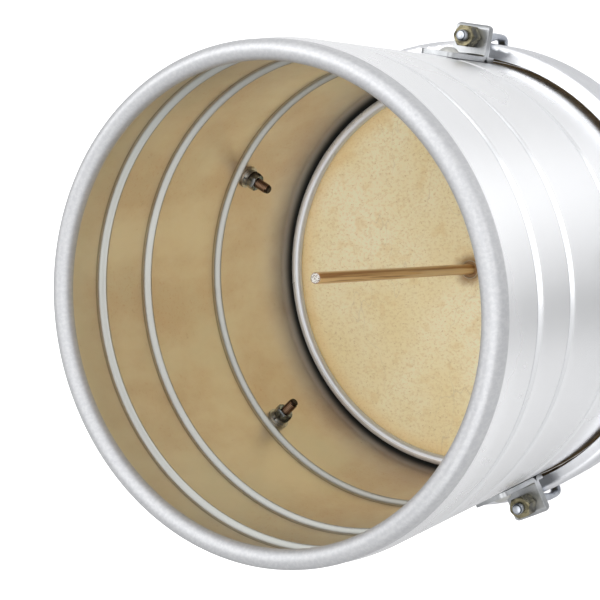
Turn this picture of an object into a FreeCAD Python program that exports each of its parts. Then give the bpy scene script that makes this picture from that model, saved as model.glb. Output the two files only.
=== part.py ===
import FreeCAD, Part
import math
import os

# Cuica, a friction drum, standing on the rear edge of its tension hoop with the open
# end up. The origin is on the drum axis in the plane of that edge, +Z is the drum axis
# towards the open end, and the first of the five lugs lies on +X. Millimetres.

V = FreeCAD.Vector

# Drum body
drum_height = 195.0
shell_radius = 103.15
shell_wall = 1.2
mouth_bead_radius = 4.05
mouth_bead_inset = 5.58
shoulder_length = 19.0
bead_curl_degrees = 290.0
groove_depth = 2.5
groove_rise = 2.2
groove_steep = 0.9
groove_crest = 1.6
groove_fall = 5.8
upper_groove_from_mouth = 32.2
middle_groove_from_mouth = 64.1

# Bearing edge, where the skin turns over the shell
edge_height = 8.0
edge_shoulder_radius = 7.15
edge_land = 1.4
lip_curl_radius = 2.6
lip_curl_degrees = 240.0

# Skin, its neck and the stick
skin_thickness = 0.6
skin_seat_gap = 0.05
skin_sag = 2.2
skin_skirt_height = 18.6
neck_offset_x = 3.1
neck_offset_y = 1.6
neck_dish_radius = 12.0
neck_dish_gap = 0.4
neck_hood_radius = 4.8
neck_hood_depth = 3.8
neck_floor = 0.7
stick_radius = 2.55
stick_neck_gap = 0.5
stick_seat_gap = 0.3
stick_length = 144.0
stick_lean_x_degrees = -1.13
stick_lean_y_degrees = 2.58
stick_edge = 0.3
binding_cord_radius = 0.55
binding_turns = 2
binding_gap = 0.05

# Tension hoop and the flesh hoop inside it
hoop_wall = 2.0
hoop_height = 27.0
hoop_corner = 3.0
hoop_face_gap = 2.05
hoop_ledge_height = 10.5
hoop_ledge_thickness = 1.8
flesh_hoop_width = 5.0
flesh_hoop_depth = 6.6
flesh_hoop_corner = 1.6
flesh_hoop_gap = 0.1
flesh_hoop_side_gap = 0.5
flesh_hoop_outer_gap = 0.7

# Lugs: bracket, its bolt, the hook and the tension nut
lug_count = 5
lug_width = 16.5
lug_sheet = 2.2
lug_bend = 1.0
lug_ear_height = 38.6
lug_ear_margin = 6.1
lug_ear_corner = 1.8
lug_front_margin = 13.0
lug_rear_foot = 8.0
lug_foot_corner = 3.0
lug_seam = 0.25
lug_seam_depth = 0.5
lug_shell_gap = 0.05
bolt_from_ear = 20.0
bolt_radius = 2.45
bolt_reach = 13.95
bolt_head_radius = 4.6
bolt_head_height = 2.4
bolt_hole_gap = 0.15
bolt_groove_gap = 0.1
washer_radius = 5.5
washer_thickness = 1.0
lock_washer_radius = 4.3
lock_washer_thickness = 1.2
lock_washer_split = 0.8
inner_nut_flats = 8.0
inner_nut_height = 4.3
thread_gap = 0.06
stack_gap = 0.02

hook_radius = 2.5
hook_tip_height = 55.0
hook_bow_start = 34.0
hook_bow_end = 24.0
hook_bow_step = 1.6
hook_bow_bend = 14.0
hook_hoop_gap = 0.5
hook_leg_height = 6.6
hook_leg_bend = 4.5
hook_leg_inside = 2.6
hook_hole_gap = 0.15
hook_hole_rise = 0.8
hook_ear_gap = 0.5
tip_chamfer = 0.5
nut_flats = 9.2
nut_height = 8.4
nut_end_share = 0.985
nut_face_gap = 0.1

# How far a cutting shape runs past the face that it cuts
cut_margin = 5.0


# Derived places
flesh_hoop_inner = shell_radius + skin_seat_gap + skin_thickness + flesh_hoop_side_gap
flesh_hoop_outer = flesh_hoop_inner + flesh_hoop_width
hoop_inside = flesh_hoop_outer + flesh_hoop_outer_gap
hoop_radius = hoop_inside + hoop_wall
hoop_face_inner_radius = shell_radius + hoop_face_gap
hook_bow_radius = hoop_radius + hook_radius + hook_hoop_gap
hook_axis_radius = hook_bow_radius - hook_bow_step
hook_end_radius = hoop_inside - hook_leg_inside
lug_ear_radius = hook_axis_radius + lug_ear_margin
mouth_bead_r = shell_radius - mouth_bead_inset
mouth_bead_z = drum_height - mouth_bead_radius
ear_seam_z = lug_ear_height + lug_sheet
ear_front_z = ear_seam_z + lug_sheet
bolt_height = ear_front_z + bolt_from_ear
lower_groove_z = (bolt_height + washer_radius + bolt_groove_gap + groove_fall
                  + shell_wall)
groove_heights = (drum_height - upper_groove_from_mouth,
                  drum_height - middle_groove_from_mouth, lower_groove_z)
foot_outer_radius = shell_radius + lug_sheet
lip_r = shell_radius - edge_shoulder_radius - edge_land
lip_z = edge_height + lip_curl_radius
shell_inner_radius = shell_radius - shell_wall
bolt_tip_radius = shell_inner_radius - bolt_reach
skin_top_z = edge_height - skin_seat_gap


def point(r, z):
    return V(r, 0, z)


def polar(centre_r, centre_z, radius, degrees):
    angle = math.radians(degrees)
    return point(centre_r + radius * math.cos(angle), centre_z + radius * math.sin(angle))


def line(a, b):
    return Part.LineSegment(a, b).toShape()


def arc(centre_r, centre_z, radius, start, end):
    ends = [polar(centre_r, centre_z, radius, a) for a in (start, (start + end) / 2, end)]
    return Part.Arc(*ends).toShape()


def curve(points, tangents):
    spline = Part.BSplineCurve()
    spline.interpolate(Points=points, Tangents=tangents, TangentFlags=[True] * len(points))
    return spline.toShape()


def revolve(edges, axis_x=0.0, axis_y=0.0):
    face = Part.Face(Part.Wire(edges))
    solid = face.revolve(V(0, 0, 0), V(0, 0, 1), 360)
    solid = Part.Solid(solid.Shells[0]) if solid.ShapeType != "Solid" else solid
    solid.translate(V(axis_x, axis_y, 0))
    return solid


def ring_run(corners):
    return [line(a, b) for a, b in zip(corners, corners[1:])]


def ring_section(corners):
    return ring_run(corners + corners[:1])


def radial_cylinder(radius, r_start, r_end, z):
    return Part.makeCylinder(radius, r_end - r_start, V(r_start, 0, z), V(1, 0, 0))


def hexagon(flats, height, base, direction):
    corner = flats / math.sqrt(3)
    points = [V(corner * math.cos(math.radians(60 * i + 30)),
                corner * math.sin(math.radians(60 * i + 30)), 0) for i in range(7)]
    prism = Part.Face(Part.makePolygon(points)).extrude(V(0, 0, height))
    prism.Placement = FreeCAD.Placement(base, FreeCAD.Rotation(V(0, 0, 1), direction))
    return prism


def at_lugs(shape):
    copies = []
    for lug in range(lug_count):
        copy = shape.copy()
        copy.rotate(V(0, 0, 0), V(0, 0, 1), 360.0 / lug_count * lug)
        copies.append(copy)
    return copies


def wall_run(radius, drop):
    """One face of the shell's wall, from the mouth shoulder down to the bearing edge,
    with the three pressed grooves. Each turns in softly, ends in a steep step that faces
    the mouth and fades out towards the head. The inner face lies a little lower."""
    edges = []
    down = V(0, 0, -1)
    top = point(radius, drum_height - shoulder_length)
    for height in groove_heights:
        z = height - drop
        start = point(radius, z + groove_rise)
        step = point(radius - 0.8 * groove_depth, z - groove_steep)
        bottom = point(radius - groove_depth, z - groove_crest)
        end = point(radius, z - groove_fall)
        edges.append(line(top, start))
        edges.append(curve([start, step], [down, V(-1.8, 0, -1)]))
        edges.append(curve([step, bottom], [V(-1.8, 0, -1), down]))
        edges.append(curve([bottom, end], [down, down]))
        top = end
    edges.append(line(top, point(radius, edge_height + edge_shoulder_radius)))
    return edges


# The shell is one spun sheet: a rolled mouth bead, a soft shoulder, a straight wall with
# three grooves, a rounded bearing edge and a small curled lip inside it.
def make_shell():
    wall_top = drum_height - shoulder_length
    curl_inner = mouth_bead_radius - shell_wall
    lip_inner = lip_curl_radius - shell_wall
    edge_r = shell_radius - edge_shoulder_radius
    edge_z = edge_height + edge_shoulder_radius
    bead_side = polar(mouth_bead_r, mouth_bead_z, mouth_bead_radius, 0)
    bead_inside = polar(mouth_bead_r, mouth_bead_z, curl_inner, 0)
    up = V(0, 0, 1)

    edges = [curve([point(shell_radius, wall_top), bead_side], [up, up])]
    edges.append(arc(mouth_bead_r, mouth_bead_z, mouth_bead_radius, 0, bead_curl_degrees))
    edges.append(line(polar(mouth_bead_r, mouth_bead_z, mouth_bead_radius, bead_curl_degrees),
                      polar(mouth_bead_r, mouth_bead_z, curl_inner, bead_curl_degrees)))
    edges.append(arc(mouth_bead_r, mouth_bead_z, curl_inner, bead_curl_degrees, 0))
    edges.append(curve([point(shell_inner_radius, wall_top), bead_inside], [up, up]))
    edges += wall_run(shell_inner_radius, shell_wall)
    edges.append(arc(edge_r, edge_z, edge_shoulder_radius - shell_wall, 0, -90))
    edges.append(line(point(edge_r, edge_height + shell_wall),
                      point(lip_r, edge_height + shell_wall)))
    edges.append(arc(lip_r, lip_z, lip_inner, -90, -90 - lip_curl_degrees))
    lip_end = -90 - lip_curl_degrees
    edges.append(line(polar(lip_r, lip_z, lip_inner, lip_end),
                      polar(lip_r, lip_z, lip_curl_radius, lip_end)))
    edges.append(arc(lip_r, lip_z, lip_curl_radius, lip_end, -90))
    edges.append(line(point(lip_r, edge_height), point(edge_r, edge_height)))
    edges.append(arc(edge_r, edge_z, edge_shoulder_radius, -90, 0))
    edges += wall_run(shell_radius, 0.0)

    shell = revolve(Part.__sortEdges__(edges))
    hole = radial_cylinder(bolt_radius + bolt_hole_gap, shell_inner_radius - cut_margin,
                           shell_radius + cut_margin, bolt_height)
    return shell.cut(Part.Compound(at_lugs(hole)))


# The skin is stretched over the bearing edge and drawn outwards at its centre, where a
# round place is left for the neck that holds the stick.
def make_head_skin():
    edge_r = shell_radius - edge_shoulder_radius
    edge_z = edge_height + edge_shoulder_radius
    inner = edge_shoulder_radius + skin_seat_gap
    outer = inner + skin_thickness
    low = edge_height - skin_seat_gap - skin_sag
    edges = [
        line(point(0, low), point(lip_r - lip_curl_radius, skin_top_z)),
        line(point(lip_r - lip_curl_radius, skin_top_z), point(edge_r, skin_top_z)),
        arc(edge_r, edge_z, inner, -90, 0),
        line(point(edge_r + inner, edge_z), point(edge_r + inner, skin_skirt_height)),
        line(point(edge_r + inner, skin_skirt_height), point(edge_r + outer, skin_skirt_height)),
        line(point(edge_r + outer, skin_skirt_height), point(edge_r + outer, edge_z)),
        arc(edge_r, edge_z, outer, 0, -90),
        line(point(edge_r, skin_top_z - skin_thickness),
             point(lip_r - lip_curl_radius, skin_top_z - skin_thickness)),
        line(point(lip_r - lip_curl_radius, skin_top_z - skin_thickness),
             point(0, low - skin_thickness)),
        line(point(0, low - skin_thickness), point(0, low)),
    ]
    skin = revolve(edges)
    hole = Part.makeCylinder(neck_dish_radius + neck_dish_gap, drum_height,
                             V(neck_offset_x, neck_offset_y, -drum_height / 2))
    return skin.cut(hole)


# The neck is the drawn centre of the skin: a small dish with a hood round the stick's root.
def neck_levels():
    top = skin_top_z - skin_sag + 0.2
    return top, top - neck_hood_depth


def make_skin_neck():
    top, bottom = neck_levels()
    bore = stick_radius + stick_neck_gap
    corners = [
        point(0, bottom), point(neck_hood_radius, bottom),
        point(neck_hood_radius, top - skin_thickness),
        point(neck_dish_radius, top - skin_thickness), point(neck_dish_radius, top),
        point(bore, top), point(bore, bottom + neck_floor), point(0, bottom + neck_floor),
    ]
    return revolve(ring_section(corners), neck_offset_x, neck_offset_y)


def make_stick_binding():
    top, bottom = neck_levels()
    ring_radius = neck_hood_radius + binding_gap + binding_cord_radius
    first = top - skin_thickness - binding_gap - binding_cord_radius
    turns = []
    for turn in range(binding_turns):
        z = first - turn * (2 * binding_cord_radius + binding_gap)
        turns.append(Part.makeTorus(ring_radius, binding_cord_radius,
                                    V(neck_offset_x, neck_offset_y, z)))
    return Part.Compound(turns)


def make_stick():
    _, bottom = neck_levels()
    along = V(math.tan(math.radians(stick_lean_x_degrees)),
              math.tan(math.radians(stick_lean_y_degrees)), 1)
    lean = FreeCAD.Rotation(V(0, 0, 1), along)
    stick = Part.makeCylinder(stick_radius, stick_length)
    stick = stick.makeChamfer(stick_edge, [e for e in stick.Edges if e.Closed])
    base = V(neck_offset_x, neck_offset_y, bottom + neck_floor + stick_seat_gap)
    stick.Placement = FreeCAD.Placement(base, lean)
    return stick


# The tension hoop is a channel with a flat front face, a ledge that carries the flesh
# hoop, and a plain rear edge that the drum stands on. Each hook enters a short upright
# slot in its outer wall, which leaves room for the hook's bend.
def make_counterhoop():
    face_z = hoop_height - hoop_wall
    ledge_top = hoop_ledge_height + hoop_ledge_thickness
    outer_corner = point(hoop_radius - hoop_corner, hoop_height)
    edges = ring_run([point(outer_corner.x, hoop_height), point(hoop_face_inner_radius, hoop_height),
                      point(hoop_face_inner_radius, face_z), point(hoop_inside, face_z),
                      point(hoop_inside, ledge_top), point(hoop_face_inner_radius, ledge_top),
                      point(hoop_face_inner_radius, hoop_ledge_height),
                      point(hoop_inside, hoop_ledge_height), point(hoop_inside, 0),
                      point(hoop_radius, 0), point(hoop_radius, hoop_height - hoop_corner)])
    edges.append(arc(hoop_radius - hoop_corner, hoop_height - hoop_corner, hoop_corner, 0, 90))

    slot_radius = hook_radius + hook_hole_gap
    start = hoop_inside - hook_hole_gap
    low = radial_cylinder(slot_radius, start, hoop_radius + cut_margin, hook_leg_height)
    high = radial_cylinder(slot_radius, start, hoop_radius + cut_margin,
                           hook_leg_height + hook_hole_rise)
    middle = Part.makeBox(hoop_radius + cut_margin - start, 2 * slot_radius, hook_hole_rise,
                          V(start, -slot_radius, hook_leg_height))
    slot = low.fuse(high).fuse(middle)
    return revolve(edges).cut(Part.Compound(at_lugs(slot)))


def make_flesh_hoop():
    inner = flesh_hoop_inner
    outer = flesh_hoop_outer
    low = hoop_ledge_height + hoop_ledge_thickness + flesh_hoop_gap
    high = low + flesh_hoop_depth
    c = flesh_hoop_corner
    edges = [
        line(point(inner + c, low), point(outer - c, low)),
        arc(outer - c, low + c, c, -90, 0),
        line(point(outer, low + c), point(outer, high - c)),
        arc(outer - c, high - c, c, 0, 90),
        line(point(outer - c, high), point(inner + c, high)),
        arc(inner + c, high - c, c, 90, 180),
        line(point(inner, high - c), point(inner, low + c)),
        arc(inner + c, low + c, c, 180, 270),
    ]
    return revolve(edges)


# A bracket is one folded strip: a long front foot, a doubled ear that stands out from the
# shell and a short rear foot. The two layers part in a rounded notch at the shell, and the
# feet are curved to it.
def bracket_profile():
    seat = shell_radius - lug_shell_gap
    outer = foot_outer_radius
    bend_out = outer - seat + lug_bend
    front_end = bolt_height + lug_front_margin
    rear_end = lug_ear_height - lug_rear_foot
    fold_r = lug_ear_radius - lug_sheet
    ear_root = outer + lug_bend
    edges = ring_run([point(outer, front_end), point(seat, front_end),
                      point(seat, ear_seam_z + bend_out)])
    edges.append(arc(seat + bend_out, ear_seam_z + bend_out, bend_out, 180, 270))
    edges.append(arc(seat + bend_out, ear_seam_z - bend_out, bend_out, 90, 180))
    edges += ring_run([point(seat, ear_seam_z - bend_out), point(seat, rear_end),
                       point(outer, rear_end), point(outer, lug_ear_height - lug_bend)])
    edges.append(arc(ear_root, lug_ear_height - lug_bend, lug_bend, 180, 90))
    edges.append(line(point(ear_root, lug_ear_height), point(fold_r, lug_ear_height)))
    edges.append(arc(fold_r, ear_seam_z, lug_sheet, -90, 90))
    edges.append(line(point(fold_r, ear_front_z), point(ear_root, ear_front_z)))
    edges.append(arc(ear_root, ear_front_z + lug_bend, lug_bend, 270, 180))
    edges.append(line(point(outer, ear_front_z + lug_bend), point(outer, front_end)))
    return Part.Face(Part.Wire(edges))


def make_bracket():
    half = lug_width / 2
    seat = shell_radius + lug_shell_gap
    bracket = bracket_profile()
    bracket.translate(V(0, -half, 0))
    bracket = bracket.extrude(V(0, lug_width, 0))
    feet = [e for e in bracket.Edges if e.Curve.TypeId == "Part::GeomLine"
            and abs(e.Curve.Direction.x) > 0.9 and e.Length < 2 * lug_sheet]
    bracket = bracket.makeFillet(lug_foot_corner, feet)

    plan = Part.makeBox(lug_ear_radius, lug_width, drum_height, V(0, -half, 0))
    corners = [e for e in plan.Edges
               if abs(e.Curve.Direction.z) > 0.9 and e.Vertexes[0].X > seat]
    bracket = bracket.common(plan.makeFillet(lug_ear_corner, corners))

    groove_start = foot_outer_radius + lug_bend + lug_sheet
    groove = Part.makeBox(lug_ear_radius - lug_sheet - groove_start, lug_width + 2 * cut_margin,
                          lug_seam, V(groove_start, -half - cut_margin,
                                      ear_seam_z - lug_seam / 2))
    core = Part.makeBox(lug_ear_radius, lug_width - 2 * lug_seam_depth, lug_sheet,
                        V(0, -half + lug_seam_depth, ear_seam_z - lug_sheet / 2))
    bracket = bracket.cut(groove.cut(core))
    bracket = bracket.cut(Part.makeCylinder(seat, drum_height, V(0, 0, 0)))
    rod_hole = Part.makeCylinder(hook_radius + hook_ear_gap, 2 * lug_sheet + 2 * cut_margin,
                                 V(hook_axis_radius, 0, lug_ear_height - cut_margin))
    bolt_hole = radial_cylinder(bolt_radius + bolt_hole_gap, seat - cut_margin,
                                foot_outer_radius + cut_margin, bolt_height)
    return bracket.cut(rod_hole).cut(bolt_hole).removeSplitter()


def make_bracket_bolt():
    seat = foot_outer_radius + stack_gap
    shank = radial_cylinder(bolt_radius, bolt_tip_radius, seat + bolt_head_height / 2,
                            bolt_height)
    rim = [e for e in shank.Edges if e.Closed and abs(e.CenterOfMass.x - bolt_tip_radius) < 0.1]
    shank = shank.makeChamfer(tip_chamfer, rim)
    dome_radius = (bolt_head_radius ** 2 + bolt_head_height ** 2) / (2 * bolt_head_height)
    dome = Part.makeSphere(dome_radius, V(seat + bolt_head_height - dome_radius, 0, bolt_height))
    keep = Part.makeBox(bolt_head_height + 1, 4 * bolt_head_radius, 4 * bolt_head_radius,
                        V(seat, -2 * bolt_head_radius, bolt_height - 2 * bolt_head_radius))
    return dome.common(keep).fuse(shank).removeSplitter()


def washer_seat():
    """Where a flat washer meets the curved inner wall of the shell."""
    return math.sqrt(shell_inner_radius ** 2 - washer_radius ** 2) - stack_gap


def make_inner_washer():
    outer = washer_seat()
    disc = radial_cylinder(washer_radius, outer - washer_thickness, outer, bolt_height)
    bore = radial_cylinder(bolt_radius + thread_gap, 0, shell_radius, bolt_height)
    return disc.cut(bore)


def make_lock_washer():
    outer = washer_seat() - washer_thickness - stack_gap
    disc = radial_cylinder(lock_washer_radius, outer - lock_washer_thickness, outer, bolt_height)
    bore = radial_cylinder(bolt_radius + thread_gap, 0, shell_radius, bolt_height)
    split = Part.makeBox(3 * lock_washer_thickness, lock_washer_split, lock_washer_radius * 2,
                         V(outer - 2 * lock_washer_thickness, -lock_washer_split / 2,
                           bolt_height))
    return disc.cut(bore).cut(split)


def rounded_nut(flats, height, base, direction, bore_radius):
    """A hexagon nut whose corners are turned down to a cone at both ends."""
    nut = hexagon(flats, height, base, direction)
    end_radius = flats / 2 * nut_end_share
    far = base + direction * height
    nut = nut.common(Part.makeCone(end_radius + height, end_radius, height, base, direction))
    nut = nut.common(Part.makeCone(end_radius + height, end_radius, height, far,
                                   direction * -1))
    return nut.cut(Part.makeCylinder(bore_radius, 3 * height, base - direction * height,
                                     direction))


def make_inner_nut():
    outer = washer_seat() - washer_thickness - lock_washer_thickness - 2 * stack_gap
    return rounded_nut(inner_nut_flats, inner_nut_height, V(outer, 0, bolt_height),
                       V(-1, 0, 0), bolt_radius + thread_gap)


def make_tension_nut():
    base = V(hook_axis_radius, 0, ear_front_z + nut_face_gap)
    return rounded_nut(nut_flats, nut_height, base, V(0, 0, 1), hook_radius + thread_gap)


def rounded_path(corners, bends):
    """Straight runs through the corners, joined by tangent arcs of the given radii."""
    edges = []
    start = corners[0]
    for before, corner, after, bend in zip(corners, corners[1:], corners[2:], bends):
        back = (before - corner).normalize()
        ahead = (after - corner).normalize()
        half = back.getAngle(ahead) / 2
        cut = bend / math.tan(half)
        first = corner + back * cut
        last = corner + ahead * cut
        middle = (back + ahead).normalize()
        centre = corner + middle * (bend / math.sin(half))
        edges.append(line(start, first))
        edges.append(Part.Arc(first, centre - middle * bend, last).toShape())
        start = last
    edges.append(line(start, corners[-1]))
    return Part.Wire(edges)


# A hook is one bent rod: a threaded end through the ear and the nut, a bow that clears
# the hoop, and a short leg that enters the hoop's wall.
def make_hook():
    corners = [
        point(hook_axis_radius, hook_tip_height),
        point(hook_axis_radius, hook_bow_start),
        point(hook_bow_radius, hook_bow_end),
        point(hook_bow_radius, hook_leg_height),
        point(hook_end_radius, hook_leg_height),
    ]
    path = rounded_path(corners, (hook_bow_bend, hook_bow_bend, hook_leg_bend))
    section = Part.Wire(Part.makeCircle(hook_radius, corners[0], V(0, 0, -1)))
    hook = path.makePipeShell([section], True, False)
    ends = [e for e in hook.Edges if e.Closed
            and (abs(e.CenterOfMass.z - hook_tip_height) < 0.01
                 or abs(e.CenterOfMass.x - hook_end_radius) < 0.01)]
    return hook.makeChamfer(tip_chamfer, ends)


os.makedirs("parts", exist_ok=True)


def write(name, shape):
    good = shape.isValid() and all(s.Volume > 0 for s in shape.Solids)
    print(name, len(shape.Solids), "solids", round(shape.Volume, 1), "mm3", "ok" if good else "BAD")
    shape.exportStep("parts/" + name + ".step")


write("shell", make_shell())
write("head_skin", make_head_skin())
write("skin_neck", make_skin_neck())
write("stick_binding", make_stick_binding())
write("stick", make_stick())
write("counterhoop", make_counterhoop())
write("flesh_hoop", make_flesh_hoop())

for name, shape in (("bracket", make_bracket()), ("hook", make_hook()),
                    ("tension_nut", make_tension_nut())):
    for number, copy in enumerate(at_lugs(shape), 1):
        write(name + "_" + str(number), copy)

for name, shape in (("bracket_bolts", make_bracket_bolt()), ("inner_washers", make_inner_washer()),
                    ("lock_washers", make_lock_washer()), ("inner_nuts", make_inner_nut())):
    write(name, Part.Compound(at_lugs(shape)))
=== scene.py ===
# %% [markdown]
# A cuica is a friction drum. A thin bamboo stick is tied into the middle of its skin, and
# the player rubs it with a wet cloth inside the open end. This lesson dresses the solid
# parts of one such drum: its spun aluminium shell, goat skin, cane stick and plated lugs.
# The frame gives every solid at its real place, so new pieces are made where it says.

import math

import bpy
from mathutils import Matrix, Vector


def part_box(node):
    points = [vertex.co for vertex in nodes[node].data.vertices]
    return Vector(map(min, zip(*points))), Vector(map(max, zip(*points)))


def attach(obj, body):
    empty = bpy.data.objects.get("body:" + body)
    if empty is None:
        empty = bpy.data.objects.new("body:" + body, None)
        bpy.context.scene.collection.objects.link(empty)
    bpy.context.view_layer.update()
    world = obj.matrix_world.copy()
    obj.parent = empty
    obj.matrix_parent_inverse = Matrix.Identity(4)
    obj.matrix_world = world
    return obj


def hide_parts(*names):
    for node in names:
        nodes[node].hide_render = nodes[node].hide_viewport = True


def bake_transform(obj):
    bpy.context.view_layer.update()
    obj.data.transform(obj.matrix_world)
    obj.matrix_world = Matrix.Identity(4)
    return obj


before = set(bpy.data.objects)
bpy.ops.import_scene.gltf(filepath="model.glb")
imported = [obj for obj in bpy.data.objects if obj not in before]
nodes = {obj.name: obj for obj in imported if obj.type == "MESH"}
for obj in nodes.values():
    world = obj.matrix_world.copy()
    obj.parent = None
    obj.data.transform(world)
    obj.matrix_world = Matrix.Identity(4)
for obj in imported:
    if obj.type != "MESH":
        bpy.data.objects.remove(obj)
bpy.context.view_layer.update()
MM = 0.001

# %% [markdown]
# The photograph looks into the open end, a little from one side, from about 0.7 m away.
# The drum here stands on its head, so the camera looks down into it. Its place and its
# turn are written as the three directions of the picture: right, up and away.

# %% Camera
CAMERA_PLACE = Vector((0.29985, 0.01531, 0.63600))
PICTURE_RIGHT = Vector((0.84150, -0.12133, -0.52647))
PICTURE_UP = Vector((0.08855, 0.99226, -0.08714))
CAMERA_LENS = 84.21
CAMERA_SENSOR = 36.0


def add_camera():
    bpy.ops.object.camera_add(location=CAMERA_PLACE)
    camera = bpy.context.object
    back = PICTURE_RIGHT.cross(PICTURE_UP)
    turn = Matrix((PICTURE_RIGHT, PICTURE_UP, back)).transposed()
    camera.matrix_world = Matrix.Translation(CAMERA_PLACE) @ turn.to_4x4()
    camera.data.lens = CAMERA_LENS
    camera.data.sensor_width = CAMERA_SENSOR
    camera.data.sensor_fit = "HORIZONTAL"
    bpy.context.scene.camera = camera
    return camera


add_camera()
bpy.context.scene.view_settings.view_transform = "Standard"
print("camera stands", round(CAMERA_PLACE.length / MM), "mm from the origin")

# %% [markdown]
# Every finish here is built from small shader nodes, and written out in full they would
# fill pages. A few short helpers add a node, do a sum, mix two colours or make relief, so
# a finish reads as a recipe: what the base is, what lies on it, and how much of it.

# %% Node helpers
def add_node(tree, kind, links=None, **settings):
    """Adds a shader node, sets its properties, and fills its inputs with values or links."""
    node = tree.nodes.new(kind)
    for name, value in settings.items():
        setattr(node, name, value)
    for socket, source in (links or {}).items():
        if isinstance(source, bpy.types.NodeSocket):
            tree.links.new(source, node.inputs[socket])
        else:
            node.inputs[socket].default_value = source
    return node


def calculate(tree, operation, first, second=0.0, third=0.0, clamp=False):
    node = add_node(tree, "ShaderNodeMath", {0: first, 1: second, 2: third},
                    operation=operation, use_clamp=clamp)
    return node.outputs[0]


def smooth_step(tree, value, low, high):
    """0 below low, 1 above high and a soft turn between; low may be the larger."""
    node = add_node(tree, "ShaderNodeMapRange",
                    {"Value": value, "From Min": low, "From Max": high},
                    interpolation_type="SMOOTHSTEP")
    return node.outputs["Result"]


def noise(tree, vector, scale, detail=3.0, roughness=0.5):
    node = add_node(tree, "ShaderNodeTexNoise",
                    {"Vector": vector, "Scale": scale, "Detail": detail,
                     "Roughness": roughness})
    return node.outputs["Fac"]


def stretched(tree, vector, scale):
    node = add_node(tree, "ShaderNodeVectorMath", {0: vector, 1: scale}, operation="MULTIPLY")
    return node.outputs[0]


def mix_colours(tree, factor, first, second):
    node = add_node(tree, "ShaderNodeMix", data_type="RGBA")
    for socket, source in ((0, factor), (6, first), (7, second)):
        if isinstance(source, bpy.types.NodeSocket):
            tree.links.new(source, node.inputs[socket])
        else:
            node.inputs[socket].default_value = source if socket == 0 else (*source, 1.0)
    return node.outputs[2]


def bump(tree, height, distance, strength=1.0, normal=None):
    links = {"Height": height, "Distance": distance, "Strength": strength}
    if normal is not None:
        links["Normal"] = normal
    return add_node(tree, "ShaderNodeBump", links).outputs["Normal"]


def new_material(name, **sockets):
    """A material with one Principled shader, whose uniform values are set on its sockets."""
    material = bpy.data.materials.new(name)
    material.use_nodes = True
    shader = material.node_tree.nodes["Principled BSDF"]
    for socket, value in sockets.items():
        shader.inputs[socket.replace("_", " ")].default_value = value
    return material, material.node_tree, shader


def object_place(tree):
    """Object coordinates, with the height and the distance from the drum's axis."""
    place = add_node(tree, "ShaderNodeTexCoord").outputs["Object"]
    parts = add_node(tree, "ShaderNodeSeparateXYZ", {0: place}).outputs
    squares = [calculate(tree, "MULTIPLY", parts[i], parts[i]) for i in (0, 1)]
    radius = calculate(tree, "SQRT", calculate(tree, "ADD", *squares))
    return place, parts[2], radius


# %% [markdown]
# Polished metal shows what stands round it, so the studio matters as much as the metal.
# A pale room and four wide, weak lamps light the drum evenly, and none is bright enough
# to burn out on the bead. The floor is white to the eye. In reflections it has soft darker
# bands, as if grey cards stood round the table, and they draw the shell's long gradients.

# %% Studio
FLOOR_SIZE = 4.0
FLOOR_GLOW = 0.30
ROOM_LEVEL = 0.80
# Name, place and aim in metres, width in metres, and power in watts
LAMPS = (("key", (0.25, 0.95, 0.95), (0, 0, 0.1), 1.5, 8.0),
         ("mouth_fill", (0.62, -0.5, 1.3), (0, 0, 0), 1.7, 12.0),
         ("rim_light", (-0.72, 0.62, 1.3), (0, 0, 0.15), 1.2, 8.5),
         ("side_card", (1.5, 0.35, 0.35), (0, 0, 0.1), 1.2, 5.5))
# Brightness of the floor's mirror image, by the direction from the drum in degrees
FLOOR_BANDS = ((-180, 0.40), (-166, 0.56), (-152, 0.36), (-138, 0.30), (-122, 0.42),
               (-100, 0.48), (-78, 0.50), (-52, 0.63), (-28, 0.60), (-14, 0.345), (-3, 0.50),
               (14, 0.68), (28, 0.71), (46, 0.54), (62, 0.55), (90, 0.58), (118, 0.60),
               (132, 0.44), (146, 0.30), (158, 0.34), (170, 0.38), (180, 0.40))


def floor_bands(tree):
    """Soft darker bands round the drum, in the floor's own plane."""
    place = add_node(tree, "ShaderNodeTexCoord").outputs["Object"]
    parts = add_node(tree, "ShaderNodeSeparateXYZ", {0: place}).outputs
    angle = calculate(tree, "ARCTAN2", parts[1], parts[0])
    share = calculate(tree, "MULTIPLY_ADD", angle, 1 / math.tau, 0.5)
    ramp = add_node(tree, "ShaderNodeValToRGB", {0: share})
    ramp.color_ramp.interpolation = "B_SPLINE"
    stops = ramp.color_ramp.elements
    while len(stops) < len(FLOOR_BANDS):
        stops.new(0.5)
    for stop, (degrees, level) in zip(stops, FLOOR_BANDS):
        stop.position = degrees / 360 + 0.5
        stop.color = (level, level, level * 1.005, 1)
    return ramp.outputs[0]


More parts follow.
